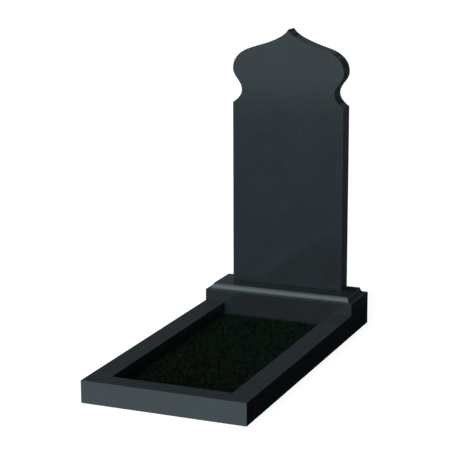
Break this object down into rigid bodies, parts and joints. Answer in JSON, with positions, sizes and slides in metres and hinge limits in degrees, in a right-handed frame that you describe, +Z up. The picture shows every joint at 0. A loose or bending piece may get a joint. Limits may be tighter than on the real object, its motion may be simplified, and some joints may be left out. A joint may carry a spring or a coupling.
{
  "type": "grave monument",
  "caption": "Polished black granite grave monument: keel-headed stela on a coved plinth, with a kerbed bed of turf in front.",
  "frame": {"origin": "on the ground, under the middle of the plot's length and width", "axes": "+Z up, -Y the way the stela and the front kerb face, +X across the plot to the right as seen from the front"},
  "size_m": [0.6, 1.25, 1.1403],
  "materials": {
    "granite": "polished",
    "grass": "matte"
  },
  "bodies": {
    "root": {"kerb_front": "granite", "kerb_left": "granite", "kerb_right": "granite", "plinth": "granite", "stela": "granite", "turf": "grass"}
  },
  "joints": []
}
